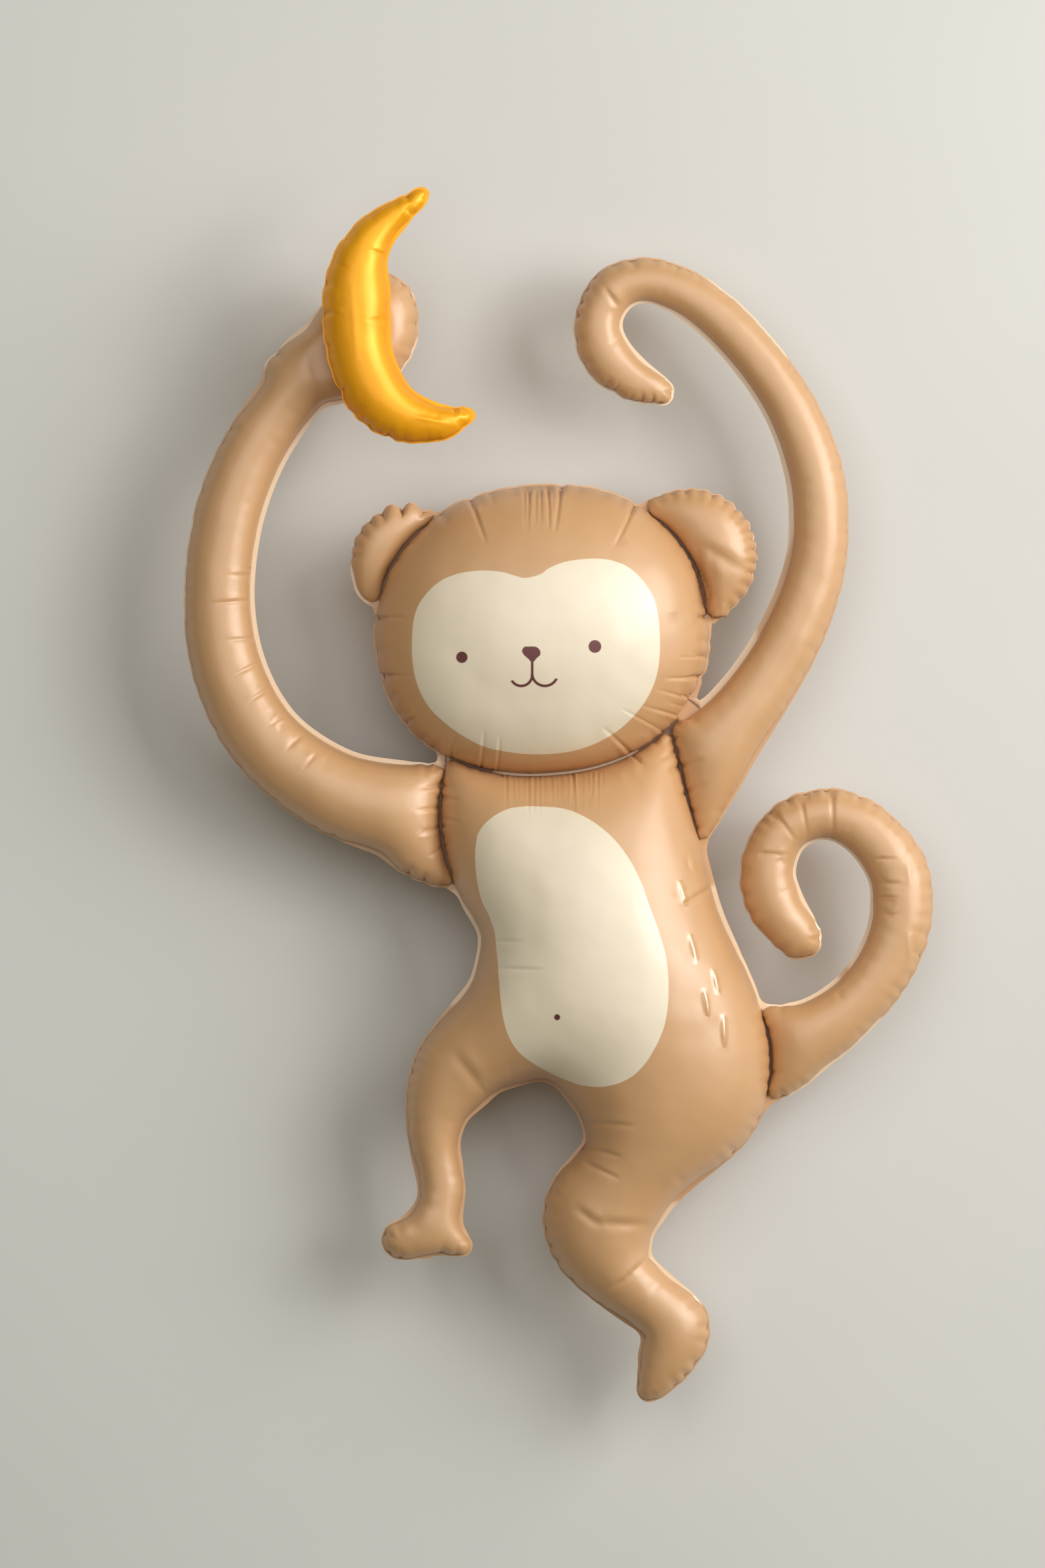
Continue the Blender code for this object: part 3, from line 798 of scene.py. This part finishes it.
monkeyLook = {
    "seed": 11,
    "gatherSeed": 7,
    "rufflePitch": 0.0135,    # the rim's waves, and how high they are
    "ruffle": 0.0004,
    "lumps": 0.0011,
    # sizes in metres, places in the photograph; a buckle is a crease in the hollow of a bend, and paleRim
    # lists stretches of rim painted paler, partly as painted highlight
    "chambers": {
        "head": {"inside": (811, 951), "pitch": 0.021, "jitter": 0.5, "depth": 0.0008, "reach": 0.014,
                 "width": 0.0017, "pull": 0.0010, "longShare": 0.2, "buckleShare": 0},
        "leftEar": {"inside": (572, 806), "depth": 0.0016, "reach": 0.012, "width": 0.0015,
                    "pull": 0.0034,
                    "notches": ((634, 768, 0.7), (601, 764, 1.3), (570, 769, 0.7), (554, 783, 0.6),
                                (541, 798, 0.6), (531, 815, 0.55), (524, 835, 0.5)),
                    "bulges": ((587, 760, 0.0026, 0.0050), (617, 758, 0.0030, 0.0050),
                               (650, 772, 0.0034, 0.0050), (536, 900, 0.0030, 0.012)),
                    "paleRim": ((528, 880, 40),)},
        "rightEar": {"inside": (1092, 800), "depth": 0.0008, "reach": 0.011, "width": 0.0013,
                     "pull": 0.0026, "bulges": ((1078, 922, 0.0050, 0.010), (975, 750, 0.0020, 0.006)),
                     "notches": ((985, 741, 0.4), (1008, 732, 0.6), (1030, 733, 0.8), (1050, 738, 0.5),
                                 (1069, 745, 0.9), (1088, 753, 0.8), (1104, 764, 1.0), (1116, 778, 0.9),
                                 (1126, 793, 1.1), (1131, 809, 0.9), (1135, 826, 1.1), (1135, 845, 0.9),
                                 (1130, 863, 1.0), (1122, 881, 0.7), (1111, 898, 0.7), (1096, 914, 0.6))},
        "body": {"inside": (860, 1420), "pitch": 0.016, "jitter": 0.5, "depth": 0.0010, "reach": 0.014,
                 "width": 0.0020, "pull": 0.0006, "longShare": 0.15, "buckleShare": 0.5,
                 "buckleDepth": 0.0006, "buckleReach": 0.018, "buckleFrom": 0.003,
                 "paleRim": ((1105, 1430, 115), (665, 1420, 95), (1005, 1885, 90)),
                 "bulges": ((637, 1876, 0.0030, 0.012),)},
        "raisedArm": {**armChamber, "inside": (326, 900), "pull": 0.0009, "buckleShare": 0.3,
                      "buckleReach": 0.020, "paleRim": ((640, 830, 330), (250, 850, 90), (470, 480, 110))},
        "hookedArm": {**armChamber, "inside": (1225, 800), "pull": 0.0008, "buckleShare": 0.5,
                      "buckleReach": 0.016,
                      "paleRim": ((950, 720, 262), (1030, 970, 115), (1040, 560, 150))},
        "tail": {"inside": (1350, 1300), "pitch": 0.0135, "jitter": 0.6, "depth": 0.0009, "reach": 0.011,
                 "width": 0.0016, "pull": 0.0010, "longShare": 0.15, "buckleShare": 0.6,
                 "buckleDepth": 0.0007, "buckleReach": 0.016, "buckleFrom": 0.002,
                 "paleRim": ((1250, 1330, 100), (1230, 1560, 105), (1315, 1440, 50))},
    },
    # start and end in the photograph, depth and half width in millimetres
    "folds": [
        (684, 1585, 728, 1642, 1.4, 4.0), (866, 1815, 895, 1836, 1.2, 3.0), (895, 1836, 968, 1839, 1.3, 3.4),
        (918, 1936, 945, 1916, 1.2, 2.2), (945, 1916, 976, 1889, 1.2, 2.2), (868, 1684, 950, 1688, 0.8, 1.8),
        (872, 1719, 930, 1735, 0.9, 1.8), (740, 1412, 784, 1412, 0.5, 1.5), (748, 1453, 815, 1454, 0.6, 1.5),
        (1027, 1357, 1072, 1330, 1.4, 2.2), (1031, 1288, 1036, 1306, 1.0, 1.8),
        *glints, (908, 430, 927, 456, 1.3, 2.2),
        (1317, 1326, 1352, 1326, 0.9, 1.8), (1365, 1296, 1366, 1329, -0.7, 2.2),
        (1050, 816, 1112, 852, 1.8, 4.5), (1062, 848, 1066, 912, 2.4, 5.0),
        (1046, 822, 1061, 918, 2.0, 3.2), (606, 827, 618, 818, -1.0, 2.0),
        (322, 904, 370, 900, 0.9, 1.6), (344, 862, 376, 861, 0.5, 1.5), (340, 960, 380, 956, 0.7, 1.6),
        (352, 1011, 386, 994, 0.8, 1.6), (373, 1051, 406, 1029, 0.9, 1.6), (398, 1090, 430, 1070, 0.9, 1.6),
        (427, 1126, 451, 1103, 0.8, 1.6), (452, 1155, 472, 1132, 0.8, 1.6),
        (1314, 1289, 1347, 1289, 0.6, 1.4), (1318, 1347, 1347, 1347, 0.5, 1.4),
        (1322, 1374, 1348, 1372, 0.5, 1.4), (1366, 1402, 1367, 1438, -0.7, 2.2),
        (1150, 767, 1182, 764, 0.4, 1.5), (869, 1740, 927, 1768, 0.8, 1.8), (580, 866, 590, 849, -1.0, 2.0),
    ],
    "creases": [
        (706, 748, 730, 818, 1.4, 1.5), (842, 731, 833, 798, 1.6, 1.4), (953, 757, 922, 822, 1.6, 1.5),
        (553, 925, 610, 926, 1.5, 1.3), (562, 1013, 620, 1013, 1.4, 1.3), (1075, 922, 1000, 923, 2.1, 1.4),
        (1064, 1016, 996, 1018, 1.8, 1.3), (1045, 1050, 985, 1034, 1.1, 1.2),
        (1034, 1078, 962, 1058, 1.3, 1.3),
        (1010, 1104, 930, 1062, 1.1, 1.2), (962, 1143, 904, 1090, 1.9, 1.5), (676, 1140, 682, 1100, 1.2, 1.2),
        (722, 1152, 727, 1096, 1.2, 1.3), (747, 1158, 750, 1104, 0.9, 1.2), (600, 1090, 640, 1064, 0.8, 1.4),
        (655, 1180, 628, 1182, 1.2, 1.6), (652, 1212, 620, 1217, 1.1, 1.6), (657, 1242, 628, 1252, 1.2, 1.6),
        (668, 1268, 642, 1286, 1.0, 1.6), (664, 1197, 692, 1201, 0.9, 1.5), (667, 1228, 694, 1235, 0.8, 1.5),
        (1021, 1150, 1056, 1138, 1.8, 2.4), (1034, 1187, 1062, 1174, 1.2, 2.0),
        (1012, 1128, 990, 1140, 1.0, 1.6),
        (914, 594, 930, 572, 1.4, 1.5), (942, 612, 950, 586, 1.5, 1.5), (965, 618, 968, 592, 1.5, 1.5),
        (984, 616, 983, 592, 1.3, 1.4), (861, 1164, 863, 1224, 0.9, 0.9),
        (1040, 1064, 1000, 1052, 0.8, 1.1), (1056, 985, 1018, 986, 0.7, 1.1),
        (1251, 1196, 1251, 1256, 1.3, 1.8), (1172, 1230, 1196, 1262, 1.1, 1.8),
        (1205, 1208, 1214, 1258, 1.0, 1.7), (1150, 1281, 1190, 1283, 1.1, 1.7),
    ],
    "headGathers": {"from": (786, 736), "to": (830, 734), "count": 6, "length": 62, "depth": 0.9,
                    "width": 1.1},
    "neckGathers": {"from": (762, 1162), "to": (906, 1160), "count": 19, "length": 62, "depth": 0.5,
                    "width": 0.9},
    "neckLine": ((722, 1120), (975, 1186)),   # the box in the photograph that holds the pale line
}


# a row of fine creases side by side, each from the weld down into the chamber
def rowOfCreases(row, rng):
    lines = []
    for share in np.linspace(0, 1, row["count"]):
        x, y = (np.array(row["from"]) * (1 - share) + np.array(row["to"]) * share).tolist()
        x += rng.uniform(-2.0, 2.0)
        length = row["length"] * rng.uniform(0.6, 1.1)
        lean = rng.uniform(-2.5, 2.5)
        lines.append((x, y, x + lean, y + length, row["depth"] * rng.uniform(0.4, 1.4), row["width"]))
    return lines


gatherRng = np.random.default_rng(monkeyLook["gatherSeed"])
for row in ("headGathers", "neckGathers"):
    monkeyLook["creases"] += rowOfCreases(monkeyLook[row], gatherRng)

printed = {
    "tan": colour("#D3A472"),
    "tanDeep": colour("#CA9966"),
    "cream": colour("#EDDEC3"),
    "brown": colour("#5E140E"),
    # paler rim colour, partly the weld's own tone and partly painted highlight where the flat rim faces the
    # light
    "weld": colour("#EACBA6"),
    # painted shade: a dark brown for the narrow slots between two chambers
    "grooveShade": colour("#7A4E2A"),
    "roughness": 0.52,
    "metallic": 0.04,
    "sheen": 1.0,             # specular level of the film under its coat
    "coat": 0.50,
    "coatRoughness": 0.27,
    "crinkle": 0.0010,
    "edge": 0.0004,           # softness of a printed edge
    "headLift": 0.062,        # heights of the prints over the weld
    "bellyLift": 0.070,
    "frontFrom": 0.004,       # nothing is printed lower than this, or on the back
    "face": ((618, 957), (620, 932), (626, 911), (639, 891), (657, 874), (682, 862), (707, 857), (732, 856),
             (757, 859), (774, 864), (790, 867), (807, 863), (823, 853), (848, 843), (873, 839), (898, 838),
             (923, 842), (946, 853), (964, 870), (979, 893), (987, 920), (990, 949), (990, 982), (985, 1015),
             (973, 1044), (952, 1073), (927, 1096), (894, 1115), (857, 1127), (823, 1131), (790, 1131),
             (757, 1127), (724, 1119), (695, 1104), (666, 1083), (641, 1057), (626, 1027), (619, 994)),
    "faceCentre": (805, 980),
    "eyes": ((693, 986, 8.5), (892.5, 970, 9.5)),
    "nose": ((784, 974), (796, 970), (808, 973), (811, 980), (805, 988), (799, 993), (792, 988), (785, 981)),
    "noseCentre": (797.5, 980),
    "stem": ((798.5, 988), (798.5, 1014)),
    "mouth": (((798.5, 1013), (781, 1029), (768, 1021)), ((798.5, 1013), (818, 1029), (835, 1018))),
    "lineWidth": 4.0,
    "belly": ((813, 1210), (846, 1213), (875, 1224), (903, 1242), (927, 1265), (948, 1295), (964, 1328),
              (977, 1365), (989, 1398), (999, 1434), (1003, 1471), (1002, 1508), (996, 1541), (982, 1573),
              (964, 1600), (940, 1620), (911, 1630), (878, 1630), (845, 1620), (809, 1602), (780, 1581),
              (764, 1557), (755, 1528), (751, 1500), (748, 1467), (746, 1434), (743, 1406), (736, 1381),
              (723, 1353), (716, 1324), (713, 1295), (714, 1267), (721, 1244), (736, 1228), (756, 1216),
              (784, 1210)),
    "bellyCentre": (868, 1430),
    "navel": (836, 1526, 4.5),
    "glint": {"width": 0.0052, "soft": 0.0012, "polish": 0.31},
}


def tanFoil(weldHeight):
    finish = Finish("tanFoil")
    soft, pixel = printed["edge"], photograph["metresPerPixel"]
    head, belly = printed["headLift"], printed["bellyLift"]
    cream = finish.patch(toPart(printed["faceCentre"], head), toPart(printed["face"], head), soft)
    cream += finish.patch(toPart(printed["bellyCentre"], belly), toPart(printed["belly"], belly), soft)
    brown = finish.patch(toPart(printed["noseCentre"], head), toPart(printed["nose"], head), soft)
    for x, y, radius in printed["eyes"]:
        brown += finish.dot(toPart((x, y), head), radius * pixel, soft)
    x, y, radius = printed["navel"]
    brown += finish.dot(toPart((x, y), belly), radius * pixel, soft)
    width = printed["lineWidth"] * pixel
    for points in printed["mouth"]:
        start, middle, end = (toPart(point, head) for point in points)
        brown += finish.arc(start, middle, end, width, soft)
    brown += finish.stroke(*(toPart(point, head) for point in printed["stem"]), width, soft)
    lowest = weldHeight + printed["frontFrom"]
    front = finish.step(finish.z, lowest, lowest + 0.001)
    band = finish.attribute("weldBand")
    # painted shade in the narrow slots between two chambers
    grooveShade = finish.step(band, 0.05, weldTones["pinched"]) * (1 - finish.step(band, 0.35, 0.55))
    # the paler rim, partly painted highlight
    weld = finish.step(band, weldTones["rim"], weldTones["paleRim"])
    glint, polished = printed["glint"], 0.0
    for x0, y0, x1, y1, _, _ in glints:
        start, end = toPart([(x0, y0), (x1, y1)], photograph["creaseLift"])
        polished += finish.stroke(start, end, glint["width"], glint["soft"])
    polished = finish.maths("MINIMUM", polished, 1.0) * front
    cloudy = finish.noise(9.0, 3.0)
    tone = finish.blend(cloudy, printed["tan"], printed["tanDeep"])
    # the slots between chambers take their painted shade
    tone = finish.blend(grooveShade, tone, printed["grooveShade"])
    tone = finish.blend(weld, tone, printed["weld"])
    cream = finish.maths("MINIMUM", cream, 1.0) * front
    brown = finish.maths("MINIMUM", brown, 1.0) * front
    tone = finish.blend(cream, tone, printed["cream"])
    tone = finish.blend(brown, tone, printed["brown"])
    finish.into("Base Color", tone)
    finish.into("Metallic", printed["metallic"] * (1 - 0.75 * cream) * (1 - 0.8 * brown))
    finish.into("Roughness", printed["roughness"] + 0.10 * (finish.noise(30.0, 3.0) - 0.5) - 0.06 * weld
                - glint["polish"] * polished)
    crinkle = 0.5 * finish.noise(90.0, 3.0) + 0.5 * finish.noise(34.0, 2.0)
    finish.bump(crinkle, 0.3, printed["crinkle"])
    # the coat is left off the painted shade of the slots
    finish.into("Coat Weight", printed["coat"] * (1 - grooveShade) * (1 - 0.7 * brown))
    finish.into("Coat Roughness", printed["coatRoughness"])
    finish.into("Specular IOR Level", printed["sheen"])
    return finish.material


# the banana

bananaLook = {
    "seed": 5,
    "rufflePitch": 0.0115,
    "ruffle": 0.0003,
    "lumps": 0.0006,
    "chambers": {
        "banana": {"inside": (521, 470), "pitch": 0.0150, "jitter": 0.6, "depth": 0.0010, "reach": 0.010,
                   "width": 0.0017, "pull": 0.0009, "longShare": 0.1, "buckleShare": 0.4,
                   "buckleDepth": 0.0005, "buckleReach": 0.014, "buckleFrom": 0.002},
    },
    "folds": [
        (618, 306, 580, 368, 0.9, 1.8), (557, 376, 576, 383, 0.7, 1.5), (610, 586, 654, 611, 0.8, 1.8),
        (622, 626, 668, 634, -0.8, 1.8), (528, 428, 536, 540, -0.5, 2.4), (498, 392, 520, 402, 0.5, 1.6),
    ],
    "creases": [
        (490, 470, 512, 473, 0.8, 1.4), (484, 520, 505, 520, 0.7, 1.4), (502, 590, 522, 580, 0.9, 1.5),
        (540, 640, 552, 618, 0.8, 1.5), (580, 668, 588, 642, 0.9, 1.5), (570, 480, 548, 482, 0.6, 1.4),
    ],
}

ripe = {
    "yellow": colour("#FFB808"),
    "deep": colour("#F49A03"),
    "roughness": 0.46,
    "metallic": 0.30,
    "coat": 0.12,
    "coatRoughness": 0.15,
    "crinkle": 0.001,
}


def yellowFoil():
    finish = Finish("yellowFoil")
    tone = finish.blend(finish.noise(22.0, 3.0), ripe["yellow"], ripe["deep"])
    finish.into("Base Color", tone)
    finish.into("Metallic", ripe["metallic"])
    finish.into("Roughness", ripe["roughness"] + 0.08 * (finish.noise(60.0, 2.0) - 0.5))
    finish.bump(finish.noise(70.0, 3.0), 0.3, ripe["crinkle"])
    finish.into("Coat Weight", ripe["coat"])
    finish.into("Coat Roughness", ripe["coatRoughness"])
    return finish.material


monkey = Foil("monkey_balloon", monkeyLook["folds"] + monkeyLook["creases"])
banana = Foil("banana_balloon", bananaLook["folds"] + bananaLook["creases"])
print("patterns cut:", len(monkey.faces), "and", len(banana.faces), "triangles a skin")

# how the balloons touch each other and the floor, in metres
touch = {"gap": 0.0003, "palmFrom": 0.012, "palmTo": 0.020, "palmEdge": 0.003, "floorEdge": 0.004}
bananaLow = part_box("banana_balloon")[0][2]


# the front under the banana is pressed flat against it
def pressPalm(places):
    flat, reach = places[:, :2], touch["palmTo"]
    low, high = banana.edge.points.min(axis=0) - reach, banana.edge.points.max(axis=0) + reach
    near = np.nonzero(np.all((flat > low) & (flat < high), axis=1))[0]
    gap = banana.edge.nearest(flat[near])[1]
    under = insideLoops(flat[near], banana.outer)
    easing = np.where(under, 0, softStep(gap, touch["palmFrom"], reach))
    height = places[:, 2].copy()
    pressed = smoothLow(height[near], bananaLow - touch["gap"], touch["palmEdge"])
    height[near] = pressed + (height[near] - pressed) * easing
    return height


def layFlat(places):
    return -smoothLow(-places[:, 2], 0.0, touch["floorEdge"])


monkeyFoil = balloon("monkeyFoil", monkey, monkeyLook, pressPalm, layFlat)
monkeyFoil.data.materials.append(tanFoil(monkey.weld))
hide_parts("monkey_balloon")


def sitOnPalm(places):
    return bananaLow - smoothLow(bananaLow - places[:, 2], 0.0, touch["palmEdge"])


bananaFoil = balloon("bananaFoil", banana, bananaLook, None, sitOnPalm)
bananaFoil.data.materials.append(yellowFoil())
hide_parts("banana_balloon")


# floor, light and camera

studio = {
    "floor": colour("#D9D7D2"),
    "floorDeep": colour("#D2D0CB"),
    "floorSize": 6,
    "floorDrop": 0.0005,      # just under the balloon, so that no faces coincide
    "lamps": {
        "key": {"place": (2.4, 0.9, 2.0), "size": 2.4, "power": 98},
        "top": {"place": (-0.3, 0.9, 3.0), "size": 2.6, "power": 33},
        "spark": {"place": (2.4, 0.8, 2.1), "size": 0.5, "power": 8},
    },
    "aim": (0, 0, 0.05),
    "air": (0.36, 0.34, 0.26, 1),
    "airStrength": 0.42,
    "sensor": 36.0,           # of the camera, in millimetres
}

paper = Finish("paleFloor")
paper.into("Base Color", paper.blend(paper.noise(3.0, 4.0), studio["floor"], studio["floorDeep"]))
paper.into("Roughness", 0.8)
paper.bump(paper.noise(400.0, 2.0), 0.1, 0.0005)
bm = bmesh.new()
bmesh.ops.create_grid(bm, x_segments=1, y_segments=1, size=studio["floorSize"])
bmesh.ops.translate(bm, verts=bm.verts, vec=(0, 0, -studio["floorDrop"]))
floorMesh = bpy.data.meshes.new("floor")
bm.to_mesh(floorMesh)
bm.free()
floor = addObject("floor", floorMesh)
floor.data.materials.append(paper.material)

for name, setting in studio["lamps"].items():
    lamp = bpy.data.lights.new(name, "AREA")
    lamp.shape = "SQUARE"
    lamp.size, lamp.energy = setting["size"], setting["power"]
    lampObject = addObject(name, lamp)
    lampObject.location = setting["place"]
    aim = Vector(studio["aim"]) - lampObject.location
    lampObject.rotation_euler = aim.to_track_quat("-Z", "Y").to_euler()

world = bpy.data.worlds.new("air")
world.use_nodes = True
air = world.node_tree.nodes["Background"]
air.inputs["Color"].default_value = studio["air"]
air.inputs["Strength"].default_value = studio["airStrength"]
bpy.context.scene.world = world
bpy.context.scene.view_settings.view_transform = "Standard"

frameHeight = photograph["height"] * photograph["metresPerPixel"]
cameraData = bpy.data.cameras.new("camera")
cameraData.sensor_width = studio["sensor"]
cameraData.lens = studio["sensor"] * photograph["distance"] / frameHeight
camera = addObject("camera", cameraData)
middle = toPart(photograph["centre"])
camera.location = (middle[0], middle[1], monkey.weld + photograph["distance"])
bpy.context.scene.camera = camera
print("studio set")
